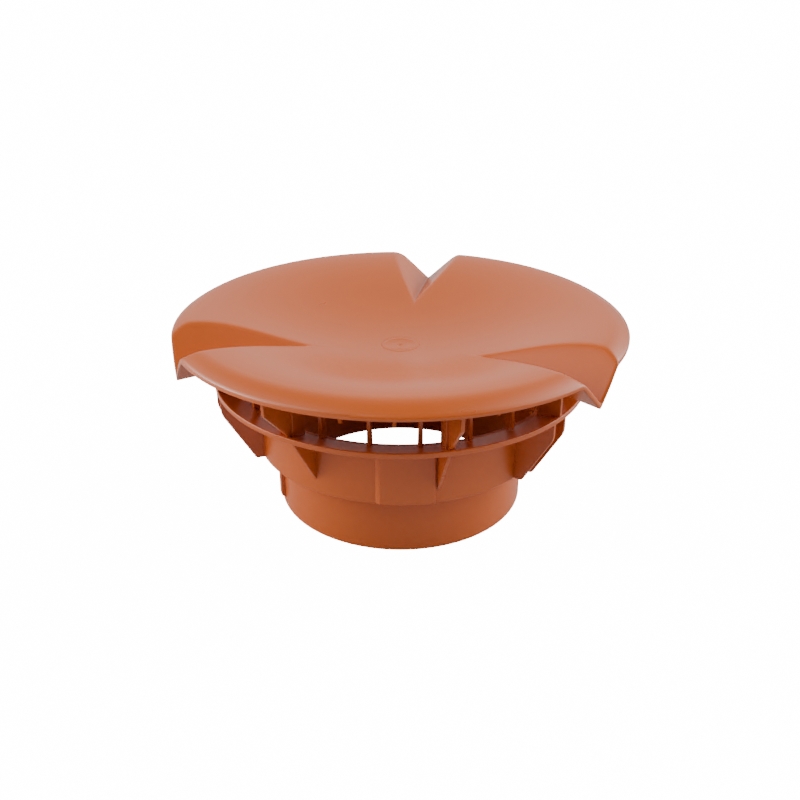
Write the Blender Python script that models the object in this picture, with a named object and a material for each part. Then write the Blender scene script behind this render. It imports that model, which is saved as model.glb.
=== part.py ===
"""Rain cap for a roof vent pipe, in two moulded pieces that clip together.

The base is a stepped tube with a sloping ring flange, gussets under it, and a cage of guard bars and fins
above it. The hood is a dished disc with three V-shaped gutters, and it sits on the cage.

Lengths are in metres. The origin is on the axis, in the plane of the spigot's lower rim. Azimuths are in
degrees about +Z from -Y, so that the first gutter, at 180, runs towards +Y.
"""

import math

import bmesh
import bpy
from mathutils import Vector

# Spigot and collar
SPIGOT_RADIUS = 0.0625
SPIGOT_HEIGHT = 0.0313
COLLAR_STEP = 0.0101
COLLAR_HEIGHT = 0.0249
TUBE_WALL = 0.0025
RIM_CHAMFER = 0.0006
COLLAR_RADIUS = SPIGOT_RADIUS + COLLAR_STEP

# Flange: a ring that slopes down towards the opening, carried by a flare of the collar
FLANGE_WIDTH = 0.0191
FLANGE_RISE = 0.0119
FLANGE_THICKNESS = 0.0026
FLANGE_SLOPE = 0.284
FLARE_WIDTH = 0.0073
BEAD_SETBACK = 0.0035
BEAD_WIDTH = 0.0011
BEAD_HEIGHT = 0.0005
FLARE_START = SPIGOT_HEIGHT + COLLAR_HEIGHT
FLARE_INNER_START = FLARE_START + TUBE_WALL / 3
FLARE_RADIUS = COLLAR_RADIUS + FLARE_WIDTH
FLANGE_RADIUS = COLLAR_RADIUS + FLANGE_WIDTH
FLANGE_TOP = FLARE_START + FLANGE_RISE
OPENING_RADIUS = FLARE_RADIUS - TUBE_WALL
BEAD_RADIUS = OPENING_RADIUS + BEAD_SETBACK

# Hood
HOOD_OVERHANG = 0.0177
HOOD_WALL = 0.0022
HOOD_LIFT = 0.0105
DISH_DEPTH = 0.0188
DISH_POWER = 2.53
BROW_WIDTH = 0.0111
BROW_FALL = 0.0041
BROW_POWER = 2.08
HOOD_RADIUS = FLANGE_RADIUS + HOOD_OVERHANG
CREST_RADIUS = HOOD_RADIUS - BROW_WIDTH
HOOD_CENTRE_TOP = FLANGE_TOP + HOOD_LIFT
CREST_TOP = HOOD_CENTRE_TOP + DISH_DEPTH
RIM_TOP = CREST_TOP - BROW_FALL
SLOPE_STEP = HOOD_WALL / 10

# Gutters in the hood
GUTTERS = 3
FIRST_GUTTER = 180.0
GUTTER_LENGTH = 0.0630
GUTTER_DEPTH = 0.0139
GUTTER_FLANK = 1.06
GUTTER_LIP_ROUND = 0.0022
GUTTER_FLOOR_ROUND = 0.0006
GUTTER_START = HOOD_RADIUS - GUTTER_LENGTH
GUTTER_END_TOP = RIM_TOP - GUTTER_DEPTH

# Cage between flange and hood. Setbacks are measured from the flange's opening, insets from an outer edge.
RIB = 0.0016
SEAT_GAP = 0.0004
EMBED = 0.0012
BAR_STEP = 15.8
BARS_EACH_SIDE = 3
BAR_SETBACK = 0.0034
BAR_FOOT_DEPTH = 0.0032
BAR_TOP_DEPTH = 0.0021
BAR_OUTER_RADIUS = OPENING_RADIUS + BAR_SETBACK
FIN_ANGLES = (-22.1, 23.3)
FIN_SETBACK = 0.0038
FIN_FOOT_INSET = 0.0021
FIN_TOP_INSET = 0.0046
FIN_EDGE_LEAN = 0.0006
FIN_EDGE_DROP = 0.0103
FIN_INNER_RADIUS = OPENING_RADIUS + FIN_SETBACK
FIN_FOOT_RADIUS = FLANGE_RADIUS - FIN_FOOT_INSET
FIN_TOP_RADIUS = HOOD_RADIUS - FIN_TOP_INSET
FIN_BEND_RADIUS = FIN_TOP_RADIUS - FIN_EDGE_LEAN
FIN_BEND_HEIGHT = RIM_TOP - FIN_EDGE_DROP
POST_SETBACK = 0.0024
POST_DEPTH = 0.0062
POST_WIDTH = 0.0040
POST_INNER_RADIUS = OPENING_RADIUS + POST_SETBACK
POST_OUTER_RADIUS = POST_INNER_RADIUS + POST_DEPTH
GUTTER_FIN_SETBACK = 0.0021
GUTTER_FIN_INSET = 0.0003
GUTTER_FIN_INNER_RADIUS = OPENING_RADIUS + GUTTER_FIN_SETBACK
GUTTER_FIN_OUTER_RADIUS = FLANGE_RADIUS - GUTTER_FIN_INSET

# Gussets under the flange
GUSSET_LIFT = 0.0070
GUSSET_FOOT_INSET = 0.0032
GUSSET_TIP_HEIGHT = SPIGOT_HEIGHT + GUSSET_LIFT
GUSSET_FOOT_RADIUS = FLANGE_RADIUS - GUSSET_FOOT_INSET
BRACKET_SPACING = 0.0100
BRACKET_INSET = 0.0004
BRACKET_EDGE_DROP = 0.0068
BRACKET_STAND_OFF = 0.0051
BRACKET_TOE_RISE = 0.0027
BRACKET_TOE = 0.0024
BRACKET_LIFT = 0.0006
TOE_STEPS = 3
BRACKET_OUTER_RADIUS = FLANGE_RADIUS - BRACKET_INSET
BRACKET_EDGE_HEIGHT = FLANGE_TOP - BRACKET_EDGE_DROP
BRACKET_LOW_RADIUS = COLLAR_RADIUS + BRACKET_STAND_OFF
BRACKET_LOW_HEIGHT = SPIGOT_HEIGHT + BRACKET_TOE_RISE

# Tabs that hang from the hood between the bars
TAB_STEPS = (-2.5, -0.5, 0.5, 2.5)
TAB_SETBACK = 0.0066
TAB_CLEARANCE = 0.0089
TAB_HALF_DEPTH = 0.0060
TAB_TIP_HALF_DEPTH = 0.0006
TAB_TIP_RADIUS = OPENING_RADIUS + TAB_SETBACK
TAB_TIP_HEIGHT = FLANGE_TOP + TAB_CLEARANCE

# Raised pads on the outside of the tube
PAD_RISE = 0.0015
PAD_START = 0.4
PAD_FRONT_FLANK = 2.6
PAD_BACK_FLANK = 0.65
PAD_END = 22.4
PAD_ABOVE_FLARE = 0.0013
PAD_LIFT = 0.0004
PAD_TOP = FLARE_START + PAD_ABOVE_FLARE
KEY_RISE = 0.0019
KEY_START = -64.0
KEY_END = -58.0
KEY_FLANK = 0.9
KEY_BOTTOM = 0.0044
KEY_TOP = SPIGOT_HEIGHT + TUBE_WALL / 2

# Facets
TUBE_SIDES = 72
PAD_SIDES = 8
PETAL_COLUMNS = 16
GUTTER_COLUMNS = (0.5, 0.86, 1.14)
INNER_ROWS = 4
DISH_ROWS = 7
BROW_ROWS = 4
NARROWEST_GUTTER = 1.2
SAMPLES = 6

TERRACOTTA = (0.50, 0.158, 0.062, 1.0)
ROUGHNESS = 0.36


def clear_scene():
    for found in list(bpy.data.objects):
        bpy.data.objects.remove(found, do_unlink=True)


def plastic(name, colour, roughness):
    material = bpy.data.materials.new(name)
    material.use_nodes = True
    shader = material.node_tree.nodes["Principled BSDF"]
    shader.inputs["Base Color"].default_value = colour
    shader.inputs["Roughness"].default_value = roughness
    shader.inputs["Metallic"].default_value = 0.0
    return material


def made(name, shape, material, smooth_angle=30.0):
    """A linked object from a bmesh, faces outwards and shaded smooth."""
    bmesh.ops.recalc_face_normals(shape, faces=shape.faces)
    mesh = bpy.data.meshes.new(name)
    shape.to_mesh(mesh)
    shape.free()
    mesh.shade_smooth()
    mesh.set_sharp_from_angle(angle=math.radians(smooth_angle))
    mesh.materials.append(material)
    result = bpy.data.objects.new(name, mesh)
    bpy.context.scene.collection.objects.link(result)
    return result


def join_to(body, addition):
    """Unites the addition with the body, and keeps it as a hidden guide."""
    addition.hide_render = True
    addition.display_type = "WIRE"
    addition.parent = body
    union = body.modifiers.new(addition.name, "BOOLEAN")
    union.operation = "UNION"
    union.solver = "EXACT"
    union.object = addition


def radial(azimuth):
    """Unit vector away from the axis. Azimuth 0 is -Y, and +90 is +X."""
    turn = math.radians(azimuth)
    return Vector((math.sin(turn), -math.cos(turn), 0.0))


def sideways(azimuth):
    return Vector((0.0, 0.0, 1.0)).cross(radial(azimuth))


def gutter_azimuths():
    return [FIRST_GUTTER + 360.0 * k / GUTTERS for k in range(GUTTERS)]


def petal_azimuths():
    return [azimuth + 180.0 / GUTTERS for azimuth in gutter_azimuths()]


def petal_top(radius):
    """Height of the hood's upper face where no gutter reaches."""
    if radius < CREST_RADIUS:
        share = radius / CREST_RADIUS
        rise = (DISH_POWER + 1) * share**DISH_POWER - DISH_POWER * share ** (DISH_POWER + 1)
        return HOOD_CENTRE_TOP + (CREST_TOP - HOOD_CENTRE_TOP) * rise
    share = (radius - CREST_RADIUS) / (HOOD_RADIUS - CREST_RADIUS)
    return CREST_TOP - (CREST_TOP - RIM_TOP) * share**BROW_POWER


def gutter_floor(along):
    """Height of a gutter's lowest line, at a distance along its own direction."""
    start = petal_top(GUTTER_START)
    share = (along - GUTTER_START) / (HOOD_RADIUS - GUTTER_START)
    return start + (GUTTER_END_TOP - start) * share


def off_gutter(azimuth):
    """Angle to the nearest gutter, from 0 to half a petal."""
    spread = 360.0 / GUTTERS
    turn = (azimuth - gutter_azimuths()[0]) % spread
    return min(turn, spread - turn)


def hood_top(radius, azimuth):
    """Height of the hood's upper face: the dish or the gutter, whichever is lower, with a rounded lip."""
    turn = math.radians(off_gutter(azimuth))
    along = radius * math.cos(turn)
    across = radius * math.sin(turn)
    rounded = math.hypot(across, GUTTER_FLOOR_ROUND) - GUTTER_FLOOR_ROUND
    dish = petal_top(radius)
    gutter = gutter_floor(along) + rounded / GUTTER_FLANK
    return (dish + gutter - math.hypot(dish - gutter, GUTTER_LIP_ROUND)) / 2


def hood_slope(radius, azimuth):
    """Steepness that the wall is measured square to. The fall of the brow counts less towards the rim."""
    step = SLOPE_STEP
    brow = max(radius - CREST_RADIUS, 0.0) / (HOOD_RADIUS - CREST_RADIUS)
    inwards = max(radius - step, 0.0)
    outwards = inwards + step
    turn = math.degrees(step / max(radius, step))
    up = (hood_top(outwards, azimuth) - hood_top(inwards, azimuth)) / step
    here = hood_top(radius, azimuth)
    beside = [hood_top(radius, azimuth + change) - here for change in (turn, -turn)]
    return math.hypot(up * (1.0 - brow), max(beside, key=abs) / step)


def hood_under(radius, azimuth):
    """Height of the hood's lower face, a wall's thickness below the upper one, square to it."""
    return hood_top(radius, azimuth) - HOOD_WALL * math.sqrt(1.0 + hood_slope(radius, azimuth) ** 2)


def flange_top(radius):
    return FLANGE_TOP - (FLANGE_RADIUS - radius) * FLANGE_SLOPE


def flange_under(radius):
    return flange_top(radius) - FLANGE_THICKNESS


def lip_angle(radius):
    """Angle from a gutter's line to its lip, on a circle of this radius."""
    across = 0.0
    for _ in range(SAMPLES):
        along = math.sqrt(max(radius**2 - across**2, 0.0))
        across = max(petal_top(radius) - gutter_floor(along), 0.0) * GUTTER_FLANK
    return max(math.degrees(math.asin(min(across / radius, 1.0))), NARROWEST_GUTTER)


def spread(start, end, steps):
    """Evenly spaced values after start, up to and with end."""
    return [start + (end - start) * (k + 1) / steps for k in range(steps)]


def ring_profile():
    """The turned section of the base as (radius, height), anticlockwise, from the lower outer rim."""
    spigot_bore = SPIGOT_RADIUS - TUBE_WALL
    collar_bore = COLLAR_RADIUS - TUBE_WALL
    shelf = SPIGOT_HEIGHT + TUBE_WALL
    bead_outer = BEAD_RADIUS + BEAD_WIDTH / 2
    bead_inner = BEAD_RADIUS - BEAD_WIDTH / 2
    bead_top = flange_top(BEAD_RADIUS) + BEAD_HEIGHT
    return [
        (SPIGOT_RADIUS - RIM_CHAMFER, 0.0),
        (SPIGOT_RADIUS, RIM_CHAMFER),
        (SPIGOT_RADIUS, SPIGOT_HEIGHT),
        (COLLAR_RADIUS, SPIGOT_HEIGHT),
        (COLLAR_RADIUS, FLARE_START),
        (FLARE_RADIUS, flange_under(FLARE_RADIUS)),
        (FLANGE_RADIUS, flange_under(FLANGE_RADIUS)),
        (FLANGE_RADIUS, FLANGE_TOP),
        (bead_outer + BEAD_HEIGHT, flange_top(bead_outer + BEAD_HEIGHT)),
        (bead_outer, bead_top),
        (bead_inner, bead_top),
        (bead_inner - BEAD_HEIGHT, flange_top(bead_inner - BEAD_HEIGHT)),
        (OPENING_RADIUS, flange_top(OPENING_RADIUS)),
        (OPENING_RADIUS, flange_under(FLARE_RADIUS)),
        (collar_bore, FLARE_INNER_START),
        (collar_bore, shelf),
        (spigot_bore, shelf),
        (spigot_bore, RIM_CHAMFER),
        (spigot_bore + RIM_CHAMFER, 0.0),
    ]


def turned(shape, profile, sides):
    """A closed section turned all the way round the axis."""
    rings = []
    for k in range(sides):
        out = radial(360.0 * k / sides)
        places = [out * radius + Vector((0.0, 0.0, height)) for radius, height in profile]
        rings.append([shape.verts.new(place) for place in places])
    for k in range(sides):
        here = rings[k]
        following = rings[(k + 1) % sides]
        for i in range(len(profile)):
            j = (i + 1) % len(profile)
            shape.faces.new((here[i], following[i], following[j], here[j]))


def plate(shape, outline, azimuth, aside=0.0, thickness=RIB):
    """A flat rib: an outline of (radius, height) in the plane of this azimuth, moved aside by a distance."""
    out = radial(azimuth)
    side = sideways(azimuth)
    faces = []
    for face_offset in (-thickness / 2, thickness / 2):
        corners = [
            shape.verts.new(out * radius + side * (aside + face_offset) + Vector((0.0, 0.0, height)))
            for radius, height in outline
        ]
        faces.append(corners)
    shape.faces.new(faces[0])
    shape.faces.new(reversed(faces[1]))
    for i in range(len(outline)):
        j = (i + 1) % len(outline)
        shape.faces.new((faces[0][i], faces[0][j], faces[1][j], faces[1][i]))


def block(shape, plan, low, high):
    """An upright prism over a plan of (radius, azimuth)."""
    lower = [shape.verts.new(radial(azimuth) * radius + Vector((0.0, 0.0, low))) for radius, azimuth in plan]
    upper = [shape.verts.new(radial(azimuth) * radius + Vector((0.0, 0.0, high))) for radius, azimuth in plan]
    shape.faces.new(lower)
    shape.faces.new(reversed(upper))
    for i in range(len(plan)):
        j = (i + 1) % len(plan)
        shape.faces.new((lower[i], lower[j], upper[j], upper[i]))


def seat_line(inner, outer, azimuth, steps):
    """Points just below the hood, from the outer radius in to the inner one."""
    radii = [outer] + spread(outer, inner, steps)
    return [(radius, hood_under(radius, azimuth) - SEAT_GAP) for radius in radii]


def bar_outline(azimuth):
    """A guard bar: it stands on the bead and narrows upwards."""
    foot_inner = BAR_OUTER_RADIUS - BAR_FOOT_DEPTH
    top_inner = BAR_OUTER_RADIUS - BAR_TOP_DEPTH
    return [
        (foot_inner, flange_top(foot_inner) - EMBED),
        (BAR_OUTER_RADIUS, flange_top(BAR_OUTER_RADIUS) - EMBED),
        *seat_line(top_inner, BAR_OUTER_RADIUS, azimuth, 1),
    ]


def fin_outline(azimuth):
    """An upper fin: from the flange it leans out to the hood's edge."""
    return [
        (FIN_INNER_RADIUS, flange_top(FIN_INNER_RADIUS) - EMBED),
        (FIN_FOOT_RADIUS, flange_top(FIN_FOOT_RADIUS) - EMBED),
        (FIN_FOOT_RADIUS, flange_top(FIN_FOOT_RADIUS)),
        (FIN_BEND_RADIUS, FIN_BEND_HEIGHT),
        *seat_line(FIN_INNER_RADIUS, FIN_TOP_RADIUS, azimuth, SAMPLES),
    ]


def post_outline(azimuth):
    """The thicker post at a fin's inner edge."""
    return [
        (POST_INNER_RADIUS, flange_top(POST_INNER_RADIUS) - EMBED),
        (POST_OUTER_RADIUS, flange_top(POST_OUTER_RADIUS) - EMBED),
        *seat_line(POST_INNER_RADIUS, POST_OUTER_RADIUS, azimuth, 1),
    ]


def gutter_fin_outline(azimuth):
    """The fin that carries the hood under a gutter."""
    return [
        (GUTTER_FIN_INNER_RADIUS, flange_top(GUTTER_FIN_INNER_RADIUS) - EMBED),
        (GUTTER_FIN_OUTER_RADIUS, flange_top(GUTTER_FIN_OUTER_RADIUS) - EMBED),
        *seat_line(GUTTER_FIN_INNER_RADIUS, GUTTER_FIN_OUTER_RADIUS, azimuth, 2),
    ]


def wall_line(low):
    """Points inside the collar's wall, from the flare down to a height."""
    middle = COLLAR_RADIUS - EMBED
    return [
        (FLARE_RADIUS, flange_under(FLARE_RADIUS) + EMBED),
        (middle, FLARE_INNER_START),
        (middle, low),
    ]


def gusset_outline():
    """A triangular gusset from the flange's underside to a point on the collar."""
    return [
        *wall_line(GUSSET_TIP_HEIGHT),
        (COLLAR_RADIUS, GUSSET_TIP_HEIGHT),
        (GUSSET_FOOT_RADIUS, flange_under(GUSSET_FOOT_RADIUS)),
        (GUSSET_FOOT_RADIUS, flange_under(GUSSET_FOOT_RADIUS) + EMBED),
    ]


def bracket_outline():
    """A deep bracket from the flange's edge down to the step, with a rounded toe."""
    low = SPIGOT_HEIGHT + BRACKET_LIFT
    toe_start = Vector((BRACKET_LOW_RADIUS - BRACKET_TOE, low))
    toe_end = Vector((BRACKET_LOW_RADIUS, BRACKET_LOW_HEIGHT))
    toe_corner = Vector((BRACKET_LOW_RADIUS - BRACKET_TOE / 3, low))
    toe = []
    for share in [0.0] + spread(0.0, 1.0, TOE_STEPS):
        bend = toe_start.lerp(toe_corner, share).lerp(toe_corner.lerp(toe_end, share), share)
        toe.append((bend.x, bend.y))
    return [
        *wall_line(low),
        *toe,
        (BRACKET_OUTER_RADIUS, BRACKET_EDGE_HEIGHT),
        (BRACKET_OUTER_RADIUS, flange_under(BRACKET_OUTER_RADIUS) + EMBED),
    ]


def tab_outline(azimuth):
    """A pointed tab that hangs from the hood."""
    outer = TAB_TIP_RADIUS + TAB_HALF_DEPTH
    inner = TAB_TIP_RADIUS - TAB_HALF_DEPTH
    root = [(radius, hood_top(radius, azimuth) - HOOD_WALL / 2) for radius in (outer, inner)]
    return [
        (TAB_TIP_RADIUS - TAB_TIP_HALF_DEPTH, TAB_TIP_HEIGHT),
        (TAB_TIP_RADIUS + TAB_TIP_HALF_DEPTH, TAB_TIP_HEIGHT),
        *root,
    ]


def pad_plan(start, end, radius, rise, start_flank, end_flank):
    """A raised pad on the tube, with a sloping flank at either end."""
    crown = spread(start + start_flank, end - end_flank, PAD_SIDES)
    inner = [(radius - EMBED, azimuth) for azimuth in spread(end, start, PAD_SIDES)]
    return [
        (radius - EMBED, end),
        *inner,
        (radius, start),
        (radius + rise, start + start_flank),
        *[(radius + rise, azimuth) for azimuth in crown],
        (radius, end),
    ]


def cage():
    """Guard bars, fins, gussets, brackets and pads, ready to be united with the turned ring."""
    shape = bmesh.new()
    for centre in petal_azimuths():
        for k in range(-BARS_EACH_SIDE, BARS_EACH_SIDE + 1):
            azimuth = centre + k * BAR_STEP
            plate(shape, bar_outline(azimuth), azimuth)
        for angle in FIN_ANGLES:
            azimuth = centre + angle
            plate(shape, fin_outline(azimuth), azimuth)
            plate(shape, gusset_outline(), azimuth)
    for azimuth in gutter_azimuths():
        plate(shape, gutter_fin_outline(azimuth), azimuth)
        for side in (-1, 1):
            plate(shape, bracket_outline(), azimuth, aside=side * BRACKET_SPACING / 2)
    return shape


def posts():
    """The thicker posts that the fins stand against."""
    shape = bmesh.new()
    for centre in petal_azimuths():
        for angle in FIN_ANGLES:
            azimuth = centre + angle
            plate(shape, post_outline(azimuth), azimuth, thickness=POST_WIDTH)
    return shape


def pads():
    """The collar's pad on each petal's side, and the one key on the spigot."""
    shape = bmesh.new()
    for centre in petal_azimuths():
        start = centre + PAD_START
        end = centre + PAD_END
        plan = pad_plan(start, end, COLLAR_RADIUS, PAD_RISE, PAD_FRONT_FLANK, PAD_BACK_FLANK)
        block(shape, plan, SPIGOT_HEIGHT + PAD_LIFT, PAD_TOP)
    plan = pad_plan(KEY_START, KEY_END, SPIGOT_RADIUS, KEY_RISE, KEY_FLANK, KEY_FLANK)
    block(shape, plan, KEY_BOTTOM, KEY_TOP)
    return shape


def hood_columns(radius):
    """Azimuths of the hood's columns on one circle. They follow the gutters' lines and lips."""
    lip = lip_angle(radius)
    columns = []
    for azimuth in gutter_azimuths():
        following = azimuth + 360.0 / GUTTERS
        before = [azimuth] + [azimuth + lip * share for share in GUTTER_COLUMNS]
        after = [following - lip * share for share in reversed(GUTTER_COLUMNS)]
        columns += before
        columns += spread(before[-1], after[0], PETAL_COLUMNS)[:-1]
        columns += after
    return columns


def hood_rows():
    """Radii of the hood's rows, closer together towards the rim."""
    return (
        spread(0.0, GUTTER_START, INNER_ROWS)
        + spread(GUTTER_START, CREST_RADIUS, DISH_ROWS)
        + spread(CREST_RADIUS, HOOD_RADIUS, BROW_ROWS)
    )


def hood_shell():
    """The dished disc as a closed shell: an upper face, a lower face and the rim between them."""
    shape = bmesh.new()
    rims = []
    for height_of in (hood_top, hood_under):
        centre = shape.verts.new((0.0, 0.0, height_of(0.0, 0.0)))
        inner = None
        for radius in hood_rows():
            row = []
            for azimuth in hood_columns(radius):
                lift = Vector((0.0, 0.0, height_of(radius, azimuth)))
                row.append(shape.verts.new(radial(azimuth) * radius + lift))
            for k in range(len(row)):
                j = (k + 1) % len(row)
                if inner is None:
                    shape.faces.new((centre, row[k], row[j]))
                else:
                    shape.faces.new((inner[k], row[k], row[j], inner[j]))
            inner = row
        rims.append(inner)
    upper, lower = rims
    for k in range(len(upper)):
        j = (k + 1) % len(upper)
        shape.faces.new((upper[k], lower[k], lower[j], upper[j]))
    return shape


def hood_tabs():
    shape = bmesh.new()
    for centre in petal_azimuths():
        for step in TAB_STEPS:
            azimuth = centre + step * BAR_STEP
            plate(shape, tab_outline(azimuth), azimuth)
    return shape


def main():
    clear_scene()
    terracotta = plastic("terracotta_plastic", TERRACOTTA, ROUGHNESS)
    ring = bmesh.new()
    turned(ring, ring_profile(), TUBE_SIDES)
    base = made("vent_base", ring, terracotta)
    join_to(base, made("cage_ribs", cage(), terracotta))
    join_to(base, made("cage_posts", posts(), terracotta))
    join_to(base, made("tube_pads", pads(), terracotta))
    hood = made("rain_hood", hood_shell(), terracotta)
    join_to(hood, made("hood_tabs", hood_tabs(), terracotta))


main()
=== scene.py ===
"""Looks of a rain cap for a roof vent pipe, moulded in satin terracotta plastic.

Lengths are in metres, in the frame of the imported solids. The origin is on the axis at the spigot's lower
rim, and +Z is up. Azimuths are in degrees about +Z, with 0 towards -Y, where the front petal's middle is.
"""

import math

import bmesh
import bpy
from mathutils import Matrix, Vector


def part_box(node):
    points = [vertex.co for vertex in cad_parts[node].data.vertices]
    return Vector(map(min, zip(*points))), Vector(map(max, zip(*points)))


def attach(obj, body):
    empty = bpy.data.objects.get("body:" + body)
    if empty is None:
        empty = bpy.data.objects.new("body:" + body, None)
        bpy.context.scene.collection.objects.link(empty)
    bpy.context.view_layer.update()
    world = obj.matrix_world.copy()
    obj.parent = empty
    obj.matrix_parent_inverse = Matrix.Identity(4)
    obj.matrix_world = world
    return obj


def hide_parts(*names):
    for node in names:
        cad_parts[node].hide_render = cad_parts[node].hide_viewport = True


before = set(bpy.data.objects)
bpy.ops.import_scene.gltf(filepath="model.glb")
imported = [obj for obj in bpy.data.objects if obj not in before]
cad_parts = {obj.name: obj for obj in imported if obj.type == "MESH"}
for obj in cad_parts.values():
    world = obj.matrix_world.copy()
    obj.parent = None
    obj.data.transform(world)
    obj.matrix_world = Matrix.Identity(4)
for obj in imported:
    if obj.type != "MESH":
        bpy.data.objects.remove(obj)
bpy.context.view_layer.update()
HOOD_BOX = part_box("rain_hood")

# Hood: close to the solid's form, with a slight turn of the gutters and a finer lip and floor in them
HOOD = {
    "Hood Radius": HOOD_BOX[1].y,
    "Hood Wall": 0.0022,
    "Centre Top": 0.0786,
    "Crest Radius": 0.1003,
    "Crest Top": 0.0974,
    "Rim Top": 0.0933,
    "Dish Power": 2.48,
    "Brow Power": 1.75,
    "Gutter Start": 0.0472,
    "Gutter End Top": 0.0797,
    "Gutter Flank": 1.06,
    "Lip Round": 0.0010,
    "Floor Round": 0.0004,
    "Gutter Turn": 0.9,
    "Mark Radius": 0.0090,
    "Mark Recess": 0.0007,
}
PETALS = 3
PETAL_ANGLE = 360.0 / PETALS
HOOD_MESH = {"Rows": 90, "Flank Columns": 32, "Petal Columns": 30}
FLANK_REACH = 1.35
NARROWEST_FLANK = 3.0
FLANK_CROWDING = 1.4
RIM_ROUND = 0.0007
RIM_ANGLE = 46.0
SLOPE_STEP_SHARE = 0.1
MERGE_DISTANCE = 0.00001

# Moulding mark in the hood's middle, as (radius, height over the dish): a dimple, a sunk disc and a ring
GATE_MARK = (
    (0.0002, -0.00034),
    (0.0009, -0.00030),
    (0.0015, -0.00012),
    (0.0022, -0.00010),
    (0.0070, -0.00010),
    (0.0074, 0.00004),
    (0.0078, 0.00009),
    (0.0083, 0.00004),
    (0.0088, 0.00001),
    (0.0096, 0.00001),
    (0.0098, -0.00040),
)
GATE_MARK_DEPTH = 0.0012
GATE_MARK_SIDES = 96
MARK_FADE = 0.75

# Tube and flange
SPIGOT_RADIUS = 0.0625
SPIGOT_HEIGHT = 0.0313
COLLAR_RADIUS = 0.0726
TUBE_WALL = 0.0025
FLANGE_RADIUS = 0.0917
FLANGE_TOP = 0.0681
FLANGE_THICKNESS = 0.0026
FLANGE_SLOPE = 0.284
FLARE_START = 0.0562
FLARE_RADIUS = 0.0799
OPENING_RADIUS = 0.0766
LIP_RADIUS = 0.0790
LIP_HEIGHT = 0.0002
LIP_FALL = 0.0003
TUBE_SIDES = 288
SEAM_DISTANCE = 0.000002
ARC_STEPS = 5

# Cage, gussets and tabs
RIB = 0.0016
EDGE_ROUND = 0.00028
SEAT_GAP = 0.0003
SEAT_START_LIFT = 0.02
EMBED = 0.0012
CAGE_TURN = 0.45
BAR_STEP = 15.5
BARS_EACH_SIDE = 3
BAR_OUTER_RADIUS = 0.0808
BAR_FOOT_DEPTH = 0.0042
BAR_TOP_DEPTH = 0.0021
BAR_FOOT_WIDTH = 0.0019
BAR_TOP_WIDTH = 0.0014
FIN_FIRST = -22.1
FIN_LAST = 23.3
FIN_INNER_RADIUS = 0.0812
FIN_FOOT_RADIUS = 0.0896
FIN_BEND_RADIUS = 0.1042
FIN_BEND_HEIGHT = 0.0830
FIN_TOP_RADIUS = 0.1048
FIN_SEAT_STEPS = 8
POST_INNER_RADIUS = 0.0804
POST_OUTER_RADIUS = 0.0883
POST_WIDTH = 0.0040
GUTTER_FIN_INNER_RADIUS = 0.0795
GUTTER_FIN_OUTER_RADIUS = 0.0914
GUSSET_TIP_HEIGHT = 0.0383
GUSSET_FOOT_RADIUS = 0.0885
BRACKET_SPACING = 0.0088
BRACKET_ELBOW = 0.0026
BRACKET_OUTER_RADIUS = 0.0914
BRACKET_EDGE_HEIGHT = 0.0580
BRACKET_LOW_RADIUS = 0.0777
BRACKET_LOW_HEIGHT = 0.0340
BRACKET_TOE = 0.0024
BRACKET_LIFT = 0.0006
BEND_STEPS = 6
TAB_TIP_RADIUS = 0.0840
TAB_TIP_HEIGHT = 0.0762
TAB_HALF_DEPTH = 0.0060
TAB_TIP_HALF_DEPTH = 0.0006

# Raised patches on the tube
PAD_RISE = 0.0015
PAD_SPAN = (0.4, 22.4)
PAD_TOP = 0.0575
PAD_FLANKS = (0.0033, 0.0008)
PAD_CORNER = 0.0030
KEY_RISE = 0.0019
KEY_SPAN = (-64.0, -58.0)
KEY_BOTTOM = 0.0044
KEY_FLANKS = (0.0010, 0.0010)
KEY_CORNER = 0.0012
PATCH_SINK = 0.0003
PATCH_COLUMNS = 64
PATCH_ROWS = 56
PATCH_SIDE_CROWDING = 0.85
PATCH_END_CROWDING = 0.9
PATCH_SHARP_ANGLE = 60

# Plastic
TERRACOTTA = (0.516, 0.0955, 0.0116)
SATIN_ROUGHNESS = 0.29
SATIN_VARIATION = 0.05
CLOUD_SCALE = 28.0
CLOUD_TONE = 0.08
FLOW_SCALE = 1.6
FLOW_ACROSS = 60.0
FLOW_ALONG = 1.2
FLOW_TONE = 0.05
TONE_REACH = 0.10
GRAIN_SCALE = 1200.0
GRAIN_STRENGTH = 0.35
GRAIN_DEPTH = 0.000006

# Camera, from the fit to the photograph
CAMERA_DISTANCE = 0.430
CAMERA_ELEVATION = 24.35
CAMERA_AZIMUTH = 9.9
CAMERA_AIM = Vector((0.0, 0.0, 0.060))
FOCAL_PIXELS = 849.1
CENTRE_PIXEL = (400.54, 378.55)
IMAGE_PIXELS = 800
SENSOR = 36.0

# Studio: soft lights as (azimuth, elevation, strength), and the sweep's look and the light it gives
LIGHT_SHARPNESS = 16.0
SOFT_LIGHTS = (
    (180.0, 3.0, 0.75),
    (210.0, 3.0, 0.48),
    (270.0, 3.0, 11.15),
    (90.0, 25.0, 3.36),
    (120.0, 25.0, 7.98),
    (150.0, 25.0, 0.39),
    (180.0, 25.0, 0.31),
    (210.0, 25.0, 0.55),
    (270.0, 25.0, 2.67),
    (300.0, 25.0, 2.22),
    (90.0, 50.0, 2.32),
    (180.0, 50.0, 0.50),
    (210.0, 50.0, 0.37),
    (300.0, 50.0, 2.54),
)
SWEEP_WHITE = 15.0
SWEEP_GLOW = 0.104
SWEEP_GLOW_CORE = 0.02
SWEEP_SIZE = 80.0


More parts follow.
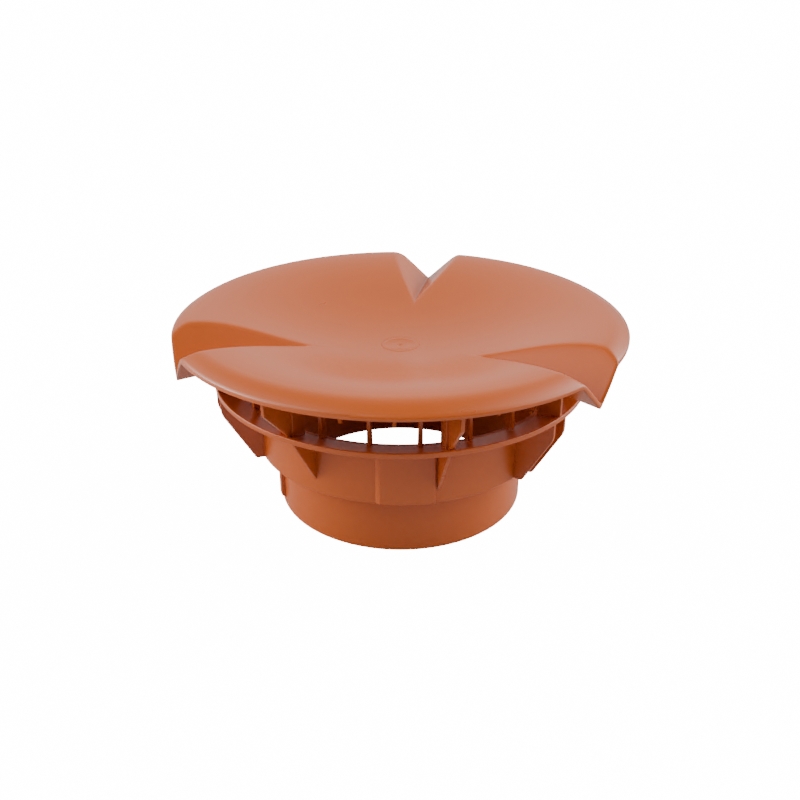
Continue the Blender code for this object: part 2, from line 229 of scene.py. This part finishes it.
class Field:
    """A socket of a node tree in an expression. Arithmetic on it adds Math nodes to the tree."""

    def __init__(self, graph, socket):
        self.graph = graph
        self.socket = socket

    def math(self, operation, *others):
        return self.graph.add("ShaderNodeMath", {"operation": operation}, (self, *others))

    def out(self, name):
        """Another output of the node that this socket is on."""
        return Field(self.graph, self.socket.node.outputs[name])

    def __add__(self, other):
        return self.math("ADD", other)

    def __sub__(self, other):
        return self.math("SUBTRACT", other)

    def __rsub__(self, other):
        return (self * -1.0).math("ADD", other)

    def __mul__(self, other):
        return self.math("MULTIPLY", other)

    def __truediv__(self, other):
        return self.math("DIVIDE", other)

    def __pow__(self, other):
        return self.math("POWER", other)

    def __neg__(self):
        return self * -1.0

    __radd__ = __add__
    __rmul__ = __mul__

    def sqrt(self):
        return self.math("SQRT")

    def floor(self):
        return self.math("FLOOR")

    def absolute(self):
        return self.math("ABSOLUTE")

    def above(self, other):
        """1 where this is greater, and 0 elsewhere."""
        return self.math("GREATER_THAN", other)

    def at_least(self, other):
        return self.math("MAXIMUM", other)

    def at_most(self, other):
        return self.math("MINIMUM", other)

    def ramp(self, low, high):
        """A smooth rise from 0 at low to 1 at high."""
        settings = {"interpolation_type": "SMOOTHSTEP"}
        values = {"Value": self, "From Min": low, "From Max": high}
        return self.graph.add("ShaderNodeMapRange", settings, values)


class Graph:
    """One node tree, and the one way to add a node to it."""

    def __init__(self, tree):
        self.tree = tree

    def add(self, kind, settings=None, values=(), output=0):
        """A node of this kind. Settings are set first, then the values or links of its sockets."""
        node = self.tree.nodes.new(kind)
        for name, setting in (settings or {}).items():
            setattr(node, name, setting)
        pairs = values.items() if isinstance(values, dict) else enumerate(values)
        for key, value in pairs:
            if isinstance(value, Field):
                self.tree.links.new(value.socket, node.inputs[key])
            else:
                node.inputs[key].default_value = value
        return Field(self, node.outputs[output]) if node.outputs else node

    def mix(self, share, first, second):
        """A mix of two colours."""
        node = self.tree.nodes.new("ShaderNodeMix")
        node.data_type = "RGBA"
        for socket, value in zip((node.inputs[0], node.inputs[6], node.inputs[7]), (share, first, second)):
            if isinstance(value, Field):
                self.tree.links.new(value.socket, socket)
            else:
                socket.default_value = value
        return Field(self, node.outputs[2])

    def separate(self, vector):
        parts = self.add("ShaderNodeSeparateXYZ", None, (vector,))
        return parts.out("X"), parts.out("Y"), parts.out("Z")

    def combine(self, x, y, z):
        return self.add("ShaderNodeCombineXYZ", None, (x, y, z))


class Shape(Graph):
    """A geometry tree with named inputs, ending in Realize Instances and Set Material."""

    KINDS = {int: "NodeSocketInt", float: "NodeSocketFloat"}

    def __init__(self, name, sizes):
        tree = bpy.data.node_groups.new(name, "GeometryNodeTree")
        super().__init__(tree)
        tree.interface.new_socket("Geometry", in_out="INPUT", socket_type="NodeSocketGeometry")
        for label, value in sizes.items():
            socket = tree.interface.new_socket(label, in_out="INPUT", socket_type=self.KINDS[type(value)])
            socket.default_value = value
        tree.interface.new_socket("Geometry", in_out="OUTPUT", socket_type="NodeSocketGeometry")
        group = tree.nodes.new("NodeGroupInput")
        self.given = Field(self, group.outputs["Geometry"])
        self.size = {label: Field(self, group.outputs[label]) for label in sizes}

    def end(self, geometry, material):
        real = self.add("GeometryNodeRealizeInstances", None, (geometry,))
        painted = self.add("GeometryNodeSetMaterial", None, {"Geometry": real, "Material": material})
        self.add("NodeGroupOutput", None, (painted,))
        return self.tree


def height(size, radius, angle):
    """The hood's upper face at a radius and at an angle from the nearest gutter, in radians."""
    return lipped(size, dish(size, radius), gutter_face(size, radius, angle))


def gutter_face(size, radius, angle):
    """The gutter's two flanks and the narrow round floor between them."""
    across = radius * angle.math("SINE")
    flank = (across * across + size["Floor Round"] ** 2).sqrt() - size["Floor Round"]
    return height_of_floor(size, radius * angle.math("COSINE")) + flank / size["Gutter Flank"]


def height_of_floor(size, along):
    """The height of the gutter's floor, which falls evenly from its start in the dish to the rim."""
    start = dish(size, size["Gutter Start"])
    share = (along - size["Gutter Start"]) / (size["Hood Radius"] - size["Gutter Start"])
    return start + (size["Gutter End Top"] - start) * share


def lipped(size, petal, gutter):
    """The lower of two heights, with a rounded lip where they cross."""
    apart = petal - gutter
    return (petal + gutter - (apart * apart + size["Lip Round"] ** 2).sqrt()) * 0.5


def dish(size, radius):
    """The hood's upper face where no gutter reaches: a dish up to the crest, and a brow beyond it."""
    power = size["Dish Power"]
    share = (radius / size["Crest Radius"]).at_most(1.0)
    rise = (power + 1.0) * share**power - power * share ** (power + 1.0)
    beyond = ((radius - size["Crest Radius"]) / (size["Hood Radius"] - size["Crest Radius"])).at_least(0.0)
    fall = (size["Crest Top"] - size["Rim Top"]) * beyond ** size["Brow Power"]
    return size["Centre Top"] + (size["Crest Top"] - size["Centre Top"]) * rise - fall


def under(size, radius, angle):
    """The hood's lower face, a wall below the upper one and square to it."""
    step = size["Hood Wall"] * SLOPE_STEP_SHARE
    inner = (radius - step).at_least(0.0)
    brow = ((radius - size["Crest Radius"]) / (size["Hood Radius"] - size["Crest Radius"])).at_least(0.0)
    slope = (dish(size, radius) - dish(size, inner)) / step * (1.0 - brow)
    petal = dish(size, radius) - size["Hood Wall"] * (slope * slope + 1.0).sqrt()
    flank = (size["Gutter Flank"] ** -2.0 + 1.0).sqrt()
    return lipped(size, petal, gutter_face(size, radius, angle) - size["Hood Wall"] * flank)


def hood_tree(material):
    """A sheet of columns round the axis and rows from the centre to the rim, and back underneath."""
    graph = Shape("hood", {**HOOD, **HOOD_MESH})
    size = graph.size
    half_columns = size["Flank Columns"] + size["Petal Columns"]
    columns = half_columns * (2.0 * PETALS)
    last_row = size["Rows"] * 2.0 + 1.0
    grid = graph.add("GeometryNodeMeshGrid", None, (1.0, 1.0, columns + 1.0, last_row + 1.0))
    x, y, _ = graph.separate(graph.add("GeometryNodeInputPosition"))
    column = ((x + 0.5) * columns + 0.5).floor()
    row = ((y + 0.5) * last_row + 0.5).floor()
    lower = row.above(size["Rows"] + 0.5)
    step = row + lower * (last_row - row * 2.0)
    radius = size["Hood Radius"] * step / size["Rows"]

    petal = (column / (half_columns * 2.0) + 0.0001).floor()
    within = column - petal * half_columns * 2.0
    returning = within.above(half_columns + 0.5)
    from_gutter = within + returning * (half_columns * 2.0 - within * 2.0)
    gap = (dish(size, radius) - height_of_floor(size, radius)).at_least(0.0) * size["Gutter Flank"]
    lip = (gap / radius.at_least(0.001)).at_most(0.9).math("ARCSINE")
    reach = (lip * FLANK_REACH).at_least(math.radians(NARROWEST_FLANK))
    in_flank = (from_gutter / size["Flank Columns"]).at_most(1.0) ** FLANK_CROWDING
    in_petal = ((from_gutter - size["Flank Columns"]) / size["Petal Columns"]).at_least(0.0)
    half_petal = math.radians(PETAL_ANGLE / 2)
    angle = reach * in_flank + (half_petal - reach) * in_petal
    turn = (petal + returning) * math.radians(PETAL_ANGLE) + angle * (1.0 - returning * 2.0)
    turn = turn + size["Gutter Turn"].math("RADIANS")

    top = height(size, radius, angle)
    bottom = under(size, radius, angle)
    recess = (1.0 - radius.ramp(size["Mark Radius"] * MARK_FADE, size["Mark Radius"])) * size["Mark Recess"]
    z = top + (bottom - top) * lower - recess * (1.0 - lower)
    place = graph.combine(radius * turn.math("SINE") * -1.0, radius * turn.math("COSINE"), z)
    moved = graph.add("GeometryNodeSetPosition", None, {"Geometry": grid, "Position": place})
    merged = graph.add("GeometryNodeMergeByDistance", None, {"Geometry": moved, "Distance": MERGE_DISTANCE})
    return graph.end(merged, material)


def ring_tree(material):
    """Copies of a plate round the axis. Its seat vertices then move up to the hood's underside."""
    ring_sizes = {"Copies": 1, "First Angle": 0.0, "Angle Step": 0.0, "Seat Gap": 0.0}
    graph = Shape("ring_of_plates", {**HOOD, **ring_sizes})
    size = graph.size
    line = graph.add("GeometryNodeMeshLine", None, {"Count": size["Copies"] * float(PETALS)})
    line.socket.node.inputs["Offset"].default_value = (0.0, 0.0, 0.0)
    index = graph.add("GeometryNodeInputIndex")
    petal = (index / size["Copies"] + 0.0001).floor()
    within = index - petal * size["Copies"]
    azimuth = petal * PETAL_ANGLE + size["First Angle"] + within * size["Angle Step"]
    turn = graph.combine(0.0, 0.0, azimuth.math("RADIANS"))
    settings = {"Points": line, "Instance": graph.given, "Rotation": turn}
    copies = graph.add("GeometryNodeInstanceOnPoints", None, settings)
    real = graph.add("GeometryNodeRealizeInstances", None, (copies,))
    x, y, _ = graph.separate(graph.add("GeometryNodeInputPosition"))
    radius = (x * x + y * y).sqrt()
    from_back = (x.math("ARCTAN2", y) + size["Gutter Turn"].math("RADIANS")) / math.radians(PETAL_ANGLE)
    nearest = (from_back - (from_back + 0.5).floor()).absolute()
    seat_height = under(size, radius, nearest * math.radians(PETAL_ANGLE)) - size["Seat Gap"]
    settings = {"data_type": "FLOAT"}
    seat = graph.add("GeometryNodeInputNamedAttribute", settings, {"Name": "seat"}).above(0.5)
    place = graph.combine(x, y, seat_height)
    values = {"Geometry": real, "Selection": seat, "Position": place}
    moved = graph.add("GeometryNodeSetPosition", None, values)
    return graph.end(moved, material)


def linked(name, mesh):
    result = bpy.data.objects.new(name, mesh)
    bpy.context.scene.collection.objects.link(result)
    return result


def grown(obj, tree, values):
    """Adds a geometry modifier and sets its inputs by their sockets' identifiers."""
    modifier = obj.modifiers.new(tree.name, "NODES")
    modifier.node_group = tree
    for item in tree.interface.items_tree:
        if item.item_type == "SOCKET" and item.in_out == "INPUT" and item.name in values:
            modifier[item.identifier] = values[item.name]
    return modifier


def rounded(obj, width, segments=3, angle=40.0):
    bevel = obj.modifiers.new("edges", "BEVEL")
    bevel.width = width
    bevel.segments = segments
    bevel.limit_method = "ANGLE"
    bevel.angle_limit = math.radians(angle)
    bevel.harden_normals = True


def settled(obj, name):
    """A plain mesh object from the evaluated one, its modifiers gone."""
    obj.data.shade_smooth()
    graph = bpy.context.evaluated_depsgraph_get()
    mesh = bpy.data.meshes.new_from_object(obj.evaluated_get(graph))
    bpy.data.objects.remove(obj)
    mesh.name = name
    return linked(name, mesh)


def outwards(obj):
    """Merges the seams of a closed mesh and turns its faces outwards."""
    shape = bmesh.new()
    shape.from_mesh(obj.data)
    bmesh.ops.remove_doubles(shape, verts=shape.verts, dist=SEAM_DISTANCE)
    bmesh.ops.recalc_face_normals(shape, faces=shape.faces)
    shape.to_mesh(obj.data)
    shape.free()
    obj.data.shade_smooth()


def piece(obj, node):
    """Parents a finished piece to the root body and hides the imported part that it stands for."""
    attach(obj, "root")
    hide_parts(node)
    return obj


def flange_top(radius):
    return FLANGE_TOP - (FLANGE_RADIUS - radius) * FLANGE_SLOPE


def flange_under(radius):
    return flange_top(radius) - FLANGE_THICKNESS


def corner_arc(before, corner, after, radius):
    """Points of a rounded corner of a section, with one more point on either side to hold the flat."""
    towards = (before - corner).normalized()
    onwards = (after - corner).normalized()
    half_turn = towards.angle(onwards) / 2
    shortest = min((before - corner).length, (after - corner).length)
    back = min(radius / math.tan(half_turn), shortest * 0.45)
    used = back * math.tan(half_turn)
    middle = corner + (towards + onwards).normalized() * (used / math.sin(half_turn))
    start = corner + towards * back
    end = corner + onwards * back
    points = [corner + towards * min(back * 1.6, shortest * 0.5)]
    for k in range(ARC_STEPS + 1):
        spoke = (start - middle).slerp(end - middle, k / ARC_STEPS)
        points.append(middle + spoke.normalized() * used)
    points.append(corner + onwards * min(back * 1.6, shortest * 0.5))
    return points


def tube_section():
    """The turned section of spigot, collar, flare and flange as (radius, height, rounding)."""
    spigot_bore = SPIGOT_RADIUS - TUBE_WALL
    collar_bore = COLLAR_RADIUS - TUBE_WALL
    shelf = SPIGOT_HEIGHT + TUBE_WALL
    return [
        (SPIGOT_RADIUS, 0.0, 0.0003),
        (SPIGOT_RADIUS, SPIGOT_HEIGHT, 0.0004),
        (COLLAR_RADIUS, SPIGOT_HEIGHT, 0.0007),
        (COLLAR_RADIUS, FLARE_START, 0.0040),
        (FLARE_RADIUS, flange_under(FLARE_RADIUS), 0.0020),
        (FLANGE_RADIUS, flange_under(FLANGE_RADIUS), 0.0005),
        (FLANGE_RADIUS, FLANGE_TOP, 0.0005),
        (LIP_RADIUS, flange_top(LIP_RADIUS) + LIP_HEIGHT, 0.0008),
        (OPENING_RADIUS, flange_top(LIP_RADIUS) + LIP_HEIGHT - LIP_FALL, 0.0005),
        (OPENING_RADIUS, flange_under(FLARE_RADIUS), 0.0010),
        (collar_bore, FLARE_START + TUBE_WALL / 3, 0.0030),
        (collar_bore, shelf, 0.0010),
        (spigot_bore, shelf, 0.0006),
        (spigot_bore, 0.0, 0.0007),
    ]


def dish_height(radius):
    """The hood's upper face near the middle, as the node tree works it out."""
    share = radius / HOOD["Crest Radius"]
    power = HOOD["Dish Power"]
    rise = (power + 1.0) * share**power - power * share ** (power + 1.0)
    return HOOD["Centre Top"] + (HOOD["Crest Top"] - HOOD["Centre Top"]) * rise


def softened(section):
    """The points of a closed section of (radius, height, rounding), with its corners rounded."""
    corners = [Vector((radius, level)) for radius, level, _ in section]
    points = []
    for k, (_, _, rounding) in enumerate(section):
        points += corner_arc(corners[k - 1], corners[k], corners[(k + 1) % len(corners)], rounding)
    return [(point.x, point.y) for point in points]


def lathed(name, points, sides):
    """A closed section of (radius, height), turned round the axis."""
    shape = bmesh.new()
    rings = []
    for k in range(sides):
        across = math.sin(2 * math.pi * k / sides)
        back = -math.cos(2 * math.pi * k / sides)
        rings.append([shape.verts.new((radius * across, radius * back, level)) for radius, level in points])
    for k in range(sides):
        following = rings[(k + 1) % sides]
        for i in range(len(points)):
            j = (i + 1) % len(points)
            shape.faces.new((rings[k][i], following[i], following[j], rings[k][j]))
    mesh = bpy.data.meshes.new(name)
    shape.to_mesh(mesh)
    shape.free()
    result = linked(name, mesh)
    outwards(result)
    return result


def plate(outline, seats=(), thickness=RIB, asides=(0.0,), seat_thickness=None):
    """Flat plates in the plane of azimuth 0. Seats index the points that meet the hood's underside."""
    top_share = seat_thickness / thickness if seat_thickness else 1.0
    shape = bmesh.new()
    seat = shape.verts.layers.float.new("seat")
    for aside in asides:
        faces = []
        for offset in (-thickness / 2, thickness / 2):
            shares = [top_share if k in seats else 1.0 for k in range(len(outline))]
            corners = [
                shape.verts.new((aside + offset * share, -radius, level))
                for share, (radius, level) in zip(shares, outline)
            ]
            for k in seats:
                corners[k][seat] = 1.0
            faces.append(corners)
        shape.faces.new(faces[0])
        shape.faces.new(reversed(faces[1]))
        for i in range(len(outline)):
            j = (i + 1) % len(outline)
            shape.faces.new((faces[0][i], faces[0][j], faces[1][j], faces[1][i]))
    bmesh.ops.recalc_face_normals(shape, faces=shape.faces)
    mesh = bpy.data.meshes.new("plate")
    shape.to_mesh(mesh)
    shape.free()
    return mesh


def between(start, end, steps):
    return [start + (end - start) * k / steps for k in range(steps + 1)]


def seated(lower, inner, outer, steps):
    """An outline that ends in a seat line, from the outer radius in, and the indices of that line."""
    level = FLANGE_TOP + SEAT_START_LIFT
    outline = lower + [(radius, level) for radius in between(outer, inner, steps)]
    return outline, range(len(lower), len(outline))


def bar_outline():
    foot = BAR_OUTER_RADIUS - BAR_FOOT_DEPTH
    lower = [(foot, flange_top(foot) - EMBED), (BAR_OUTER_RADIUS, flange_top(BAR_OUTER_RADIUS) - EMBED)]
    return seated(lower, BAR_OUTER_RADIUS - BAR_TOP_DEPTH, BAR_OUTER_RADIUS, 1)


def fin_outline():
    lower = [
        (FIN_INNER_RADIUS, flange_top(FIN_INNER_RADIUS) - EMBED),
        (FIN_FOOT_RADIUS, flange_top(FIN_FOOT_RADIUS) - EMBED),
        (FIN_FOOT_RADIUS, flange_top(FIN_FOOT_RADIUS)),
        (FIN_BEND_RADIUS, FIN_BEND_HEIGHT),
    ]
    return seated(lower, FIN_INNER_RADIUS, FIN_TOP_RADIUS, FIN_SEAT_STEPS)


def post_outline():
    lower = [(radius, flange_top(radius) - EMBED) for radius in (POST_INNER_RADIUS, POST_OUTER_RADIUS)]
    return seated(lower, POST_INNER_RADIUS, POST_OUTER_RADIUS, 2)


def gutter_fin_outline():
    radii = (GUTTER_FIN_INNER_RADIUS, GUTTER_FIN_OUTER_RADIUS)
    lower = [(radius, flange_top(radius) - EMBED) for radius in radii]
    return seated(lower, *radii, 3)


def tab_outline():
    lower = [
        (TAB_TIP_RADIUS - TAB_TIP_HALF_DEPTH, TAB_TIP_HEIGHT),
        (TAB_TIP_RADIUS + TAB_TIP_HALF_DEPTH, TAB_TIP_HEIGHT),
    ]
    return seated(lower, TAB_TIP_RADIUS - TAB_HALF_DEPTH, TAB_TIP_RADIUS + TAB_HALF_DEPTH, 1)


def wall_line(low):
    middle = COLLAR_RADIUS - EMBED
    return [
        (FLARE_RADIUS, flange_under(FLARE_RADIUS) + EMBED),
        (middle, FLARE_START + TUBE_WALL / 3),
        (middle, low),
    ]


def gusset_outline():
    return [
        *wall_line(GUSSET_TIP_HEIGHT),
        (COLLAR_RADIUS, GUSSET_TIP_HEIGHT),
        (GUSSET_FOOT_RADIUS, flange_under(GUSSET_FOOT_RADIUS)),
        (GUSSET_FOOT_RADIUS, flange_under(GUSSET_FOOT_RADIUS) + EMBED),
    ]


def bracket_outline():
    low = SPIGOT_HEIGHT + BRACKET_LIFT
    toe_start = Vector((BRACKET_LOW_RADIUS - BRACKET_TOE, low))
    toe_end = Vector((BRACKET_LOW_RADIUS, BRACKET_LOW_HEIGHT))
    toe_corner = Vector((BRACKET_LOW_RADIUS - BRACKET_TOE / 3, low))
    toe = []
    for share in between(0.0, 1.0, BEND_STEPS):
        bend = toe_start.lerp(toe_corner, share).lerp(toe_corner.lerp(toe_end, share), share)
        toe.append((bend.x, bend.y))
    return [
        *wall_line(low),
        *toe,
        *bent(toe_end, Vector((BRACKET_OUTER_RADIUS, BRACKET_EDGE_HEIGHT)), BRACKET_ELBOW),
        (BRACKET_OUTER_RADIUS, flange_under(BRACKET_OUTER_RADIUS) + EMBED),
    ]


def bent(start, corner, reach):
    """A rounded corner between a slanting edge and an upright one, as points of (radius, height)."""
    first = corner + (start - corner).normalized() * reach
    last = corner + Vector((0.0, reach))
    points = []
    for share in between(0.0, 1.0, BEND_STEPS):
        bend = first.lerp(corner, share).lerp(corner.lerp(last, share), share)
        points.append((bend.x, bend.y))
    return points


def ring_of(name, mesh, tree, node, first, step=0.0, copies=1, gap=SEAT_GAP, edge=EDGE_ROUND):
    """A ring of plates as one piece."""
    source = linked(name + "_source", mesh)
    values = {**HOOD, "Copies": copies, "First Angle": first, "Angle Step": step, "Seat Gap": gap}
    grown(source, tree, values)
    rounded(source, edge)
    return piece(settled(source, name), node)


def raised_patch(name, radius, rise, span, levels, flanks, corner, copies):
    """A pad that stands out of the tube, its edges sloping back into the wall round rounded corners."""
    width = math.radians(span[1] - span[0]) * radius
    low, high = levels
    shape = bmesh.new()

    def out_by(along, level):
        """How far the pad stands out, from the distance to its rounded outline."""
        left = along / flanks[0]
        right = (width - along) / flanks[1]
        bottom = (level - low) / flanks[1]
        top = (high - level) / flanks[1]
        share = min(left, right, bottom, top)
        inset_x = corner - along
        inset_z = corner - (level - low)
        if inset_x > 0 and inset_z > 0:
            share = min(share, (corner - math.hypot(inset_x, inset_z)) / flanks[1])
        share = min(max(share, 0.0), 1.0)
        eased = share * share * (3 - 2 * share)
        return rise * eased - PATCH_SINK * (1 - eased)

    def crowded(share, edge):
        """Even steps, with more of them near both ends."""
        return share - edge * math.sin(2 * math.pi * share) / (2 * math.pi)

    for copy in range(copies):
        skins = []
        for inner in (False, True):
            skin = []
            for i in range(PATCH_COLUMNS + 1):
                along = width * crowded(i / PATCH_COLUMNS, PATCH_SIDE_CROWDING)
                turn = math.radians(span[0] + copy * PETAL_ANGLE) + along / radius
                column = []
                for j in range(PATCH_ROWS + 1):
                    level = low + (high - low) * crowded(j / PATCH_ROWS, PATCH_END_CROWDING)
                    reach = radius - EMBED if inner else radius + out_by(along, level)
                    column.append(shape.verts.new((reach * math.sin(turn), -reach * math.cos(turn), level)))
                skin.append(column)
            for i in range(PATCH_COLUMNS):
                for j in range(PATCH_ROWS):
                    shape.faces.new((skin[i][j], skin[i + 1][j], skin[i + 1][j + 1], skin[i][j + 1]))
            skins.append(skin)
        outer, inner = skins
        for i in range(PATCH_COLUMNS):
            shape.faces.new((outer[i][0], outer[i + 1][0], inner[i + 1][0], inner[i][0]))
            shape.faces.new((outer[i][-1], outer[i + 1][-1], inner[i + 1][-1], inner[i][-1]))
        for j in range(PATCH_ROWS):
            shape.faces.new((outer[0][j], outer[0][j + 1], inner[0][j + 1], inner[0][j]))
            shape.faces.new((outer[-1][j], outer[-1][j + 1], inner[-1][j + 1], inner[-1][j]))
    mesh = bpy.data.meshes.new(name)
    shape.to_mesh(mesh)
    shape.free()
    result = linked(name, mesh)
    outwards(result)
    result.data.set_sharp_from_angle(angle=math.radians(PATCH_SHARP_ANGLE))
    return result


def plastic(name, colour, roughness):
    """Satin moulded plastic: faint clouds in the pigment, a fine grain, and flow lines round the axis."""
    material = bpy.data.materials.new(name)
    material.use_nodes = True
    tree = material.node_tree
    graph = Graph(tree)
    shader = tree.nodes["Principled BSDF"]
    place = graph.add("ShaderNodeTexCoord").out("Object")
    x, y, z = graph.separate(place)
    radius = (x * x + y * y).sqrt()

    def noise(vector, scale, detail):
        values = {"Vector": vector, "Scale": scale, "Detail": detail, "Roughness": 0.5}
        return graph.add("ShaderNodeTexNoise", None, values)

    clouds = noise(place, CLOUD_SCALE, 3.0)
    grain = noise(place, GRAIN_SCALE, 1.0)
    around = x.math("ARCTAN2", y) * FLOW_ALONG
    flow = noise(graph.combine(radius * FLOW_ACROSS, z * FLOW_ACROSS, around), FLOW_SCALE, 3.0)

    tone = (clouds - 0.5) * CLOUD_TONE + (flow - 0.5) * FLOW_TONE
    shade = tuple(channel * (1.0 - TONE_REACH) for channel in colour) + (1.0,)
    light = tuple(channel * (1.0 + TONE_REACH) for channel in colour) + (1.0,)
    tinted = graph.mix(tone / (2.0 * TONE_REACH) + 0.5, shade, light)
    tree.links.new(tinted.socket, shader.inputs["Base Color"])
    satin = roughness + (clouds - 0.5) * SATIN_VARIATION + (flow - 0.5) * SATIN_VARIATION
    tree.links.new(satin.socket, shader.inputs["Roughness"])
    values = {"Strength": GRAIN_STRENGTH, "Distance": GRAIN_DEPTH, "Height": grain}
    bump = graph.add("ShaderNodeBump", None, values)
    tree.links.new(bump.socket, shader.inputs["Normal"])
    shader.inputs["Metallic"].default_value = 0.0
    shader.inputs["IOR"].default_value = 1.5
    return material


def pale_floor():
    """The white sweep. The camera sees it as white, and the cap gets its light from the two sides."""
    material = bpy.data.materials.new("pale_floor")
    material.use_nodes = True
    tree = material.node_tree
    graph = Graph(tree)
    shader = tree.nodes["Principled BSDF"]
    place = graph.add("ShaderNodeTexCoord").out("Object")
    clouds = graph.add("ShaderNodeTexNoise", None, {"Vector": place, "Scale": 3.0, "Detail": 2.0})
    tinted = graph.mix(clouds, (0.49, 0.49, 0.49, 1.0), (0.51, 0.51, 0.51, 1.0))
    tree.links.new(tinted.socket, shader.inputs["Base Color"])
    shader.inputs["Roughness"].default_value = 0.9
    shader.inputs["Specular IOR Level"].default_value = 0.1
    seen = graph.add("ShaderNodeLightPath").out("Is Camera Ray")
    x, y, _ = graph.separate(place)
    sideways = x.absolute() / ((x * x + y * y).sqrt() + SWEEP_GLOW_CORE)
    share = SWEEP_GLOW / SWEEP_WHITE
    glow = graph.mix(sideways, (0.0, 0.0, 0.0, 1.0), (share, share, share, 1.0))
    shown = graph.mix(seen, glow, (1.0, 1.0, 1.0, 1.0))
    tree.links.new(shown.socket, shader.inputs["Emission Color"])
    shader.inputs["Emission Strength"].default_value = SWEEP_WHITE
    bpy.ops.mesh.primitive_plane_add(size=SWEEP_SIZE, location=(0.0, 0.0, 0.0))
    floor = bpy.context.object
    floor.name = "floor"
    floor.data.materials.append(material)


def studio_sky():
    """Broad soft lights at both sides and dim ones behind. The camera sees white."""
    world = bpy.data.worlds.new("studio")
    bpy.context.scene.world = world
    world.use_nodes = True
    graph = Graph(world.node_tree)
    place = graph.add("ShaderNodeTexCoord").out("Generated")
    total = 0.0
    settings = {"operation": "DOT_PRODUCT"}
    for azimuth, elevation, strength in SOFT_LIGHTS:
        values = (place, direction(azimuth, elevation))
        facing = graph.add("ShaderNodeVectorMath", settings, values).out("Value")
        total = ((facing - 1.0) * LIGHT_SHARPNESS).math("EXPONENT") * strength + total
    seen = graph.add("ShaderNodeLightPath").out("Is Camera Ray")
    strength = total + seen * (SWEEP_WHITE - total)
    background = world.node_tree.nodes["Background"]
    background.inputs["Color"].default_value = (1.0, 1.0, 1.0, 1.0)
    world.node_tree.links.new(strength.socket, background.inputs["Strength"])


def direction(azimuth, elevation):
    turn = math.radians(azimuth)
    lift = math.radians(elevation)
    return Vector((math.sin(turn) * math.cos(lift), -math.cos(turn) * math.cos(lift), math.sin(lift)))


def camera():
    """The camera of the photograph. The shift puts its optical centre where the fit found it."""
    away = direction(CAMERA_AZIMUTH, CAMERA_ELEVATION)
    lens = bpy.data.cameras.new("camera")
    lens.sensor_width = SENSOR
    lens.lens = FOCAL_PIXELS / IMAGE_PIXELS * SENSOR
    lens.shift_x = (IMAGE_PIXELS / 2 - CENTRE_PIXEL[0]) / IMAGE_PIXELS
    lens.shift_y = (CENTRE_PIXEL[1] - IMAGE_PIXELS / 2) / IMAGE_PIXELS
    lens.clip_start = 0.01
    lens.clip_end = 50.0
    eye = bpy.data.objects.new("camera", lens)
    eye.location = CAMERA_AIM + away * CAMERA_DISTANCE
    eye.rotation_euler = (-away).to_track_quat("-Z", "Y").to_euler()
    bpy.context.scene.collection.objects.link(eye)
    bpy.context.scene.camera = eye


def make_hood(material, ring):
    source = linked("hood_source", bpy.data.meshes.new("hood_source"))
    grown(source, hood_tree(material), {**HOOD, **HOOD_MESH})
    rounded(source, RIM_ROUND, angle=RIM_ANGLE)
    hood = settled(source, "hood")
    outwards(hood)
    piece(hood, "rain_hood")

    outline, seats = tab_outline()
    mesh = plate(outline, seats)
    ring_of("inner_tabs", mesh, ring, "rain_hood", CAGE_TURN - BAR_STEP / 2, BAR_STEP, 2, gap=-EMBED)
    mesh = plate(outline, seats)
    ring_of("outer_tabs", mesh, ring, "rain_hood", CAGE_TURN - BAR_STEP * 2.5, BAR_STEP * 5, 2, gap=-EMBED)

    upper = [(radius, dish_height(radius) + lift) for radius, lift in GATE_MARK]
    below = HOOD["Centre Top"] - GATE_MARK_DEPTH
    lower = [(radius, below) for radius in (GATE_MARK[-1][0], GATE_MARK[0][0])]
    mark = lathed("gate_mark", upper + lower, GATE_MARK_SIDES)
    mark.data.materials.append(material)
    piece(mark, "rain_hood")


def make_base(material, ring):
    tube = lathed("tube_and_flange", softened(tube_section()), TUBE_SIDES)
    tube.data.materials.append(material)
    piece(tube, "vent_base")

    node = "vent_base"
    fin_step = FIN_LAST - FIN_FIRST
    first_bar = CAGE_TURN - BARS_EACH_SIDE * BAR_STEP
    bar = plate(*bar_outline(), thickness=BAR_FOOT_WIDTH, seat_thickness=BAR_TOP_WIDTH)
    ring_of("guard_bars", bar, ring, node, first_bar, BAR_STEP, 2 * BARS_EACH_SIDE + 1)
    ring_of("upper_fins", plate(*fin_outline()), ring, node, FIN_FIRST, fin_step, 2)
    ring_of("fin_posts", plate(*post_outline(), thickness=POST_WIDTH), ring, node, FIN_FIRST, fin_step, 2)
    ring_of("gutter_fins", plate(*gutter_fin_outline()), ring, node, PETAL_ANGLE / 2 + CAGE_TURN)
    ring_of("gussets", plate(gusset_outline()), ring, node, FIN_FIRST, fin_step, 2)
    asides = (-BRACKET_SPACING / 2, BRACKET_SPACING / 2)
    ring_of("brackets", plate(bracket_outline(), asides=asides), ring, node, PETAL_ANGLE / 2 + CAGE_TURN)

    levels = (SPIGOT_HEIGHT + 0.0001, PAD_TOP)
    edges = (PAD_FLANKS, PAD_CORNER)
    pads = raised_patch("collar_pads", COLLAR_RADIUS, PAD_RISE, PAD_SPAN, levels, *edges, PETALS)
    pads.data.materials.append(material)
    piece(pads, node)
    levels = (KEY_BOTTOM, SPIGOT_HEIGHT + TUBE_WALL / 2)
    key = raised_patch("spigot_key", SPIGOT_RADIUS, KEY_RISE, KEY_SPAN, levels, KEY_FLANKS, KEY_CORNER, 1)
    key.data.materials.append(material)
    piece(key, node)


def main():
    terracotta = plastic("terracotta_plastic", TERRACOTTA, SATIN_ROUGHNESS)
    ring = ring_tree(terracotta)
    make_hood(terracotta, ring)
    make_base(terracotta, ring)
    pale_floor()
    studio_sky()
    camera()


main()
